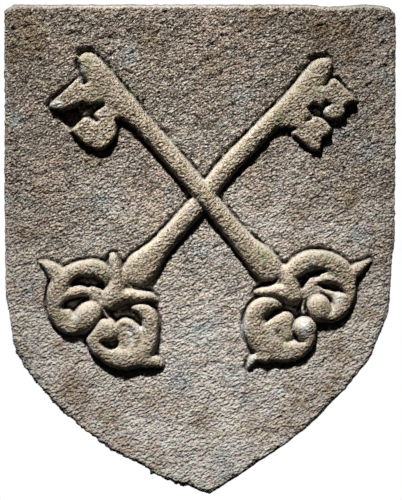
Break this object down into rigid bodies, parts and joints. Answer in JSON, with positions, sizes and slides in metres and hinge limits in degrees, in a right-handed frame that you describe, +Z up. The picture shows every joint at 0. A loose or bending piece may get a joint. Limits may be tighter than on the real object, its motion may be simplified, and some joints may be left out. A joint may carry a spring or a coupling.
{
  "type": "stone coat of arms",
  "caption": "Heater-shaped sandstone wall shield with crossed keys carved in relief on its front and a flat back.",
  "frame": {"origin": "middle of the flat back face, where the shield meets its wall", "axes": "+Z up the shield from its foot point to its straight top edge, +X to the right as the carving is seen, +Y into the wall; the carved front looks along -Y"},
  "size_m": [0.4, 0.074, 0.5],
  "materials": {
    "sandstone": "weathered, pecked and gritty, dry and matt"
  },
  "bodies": {
    "root": {"carved_shield": "sandstone"}
  },
  "joints": []
}
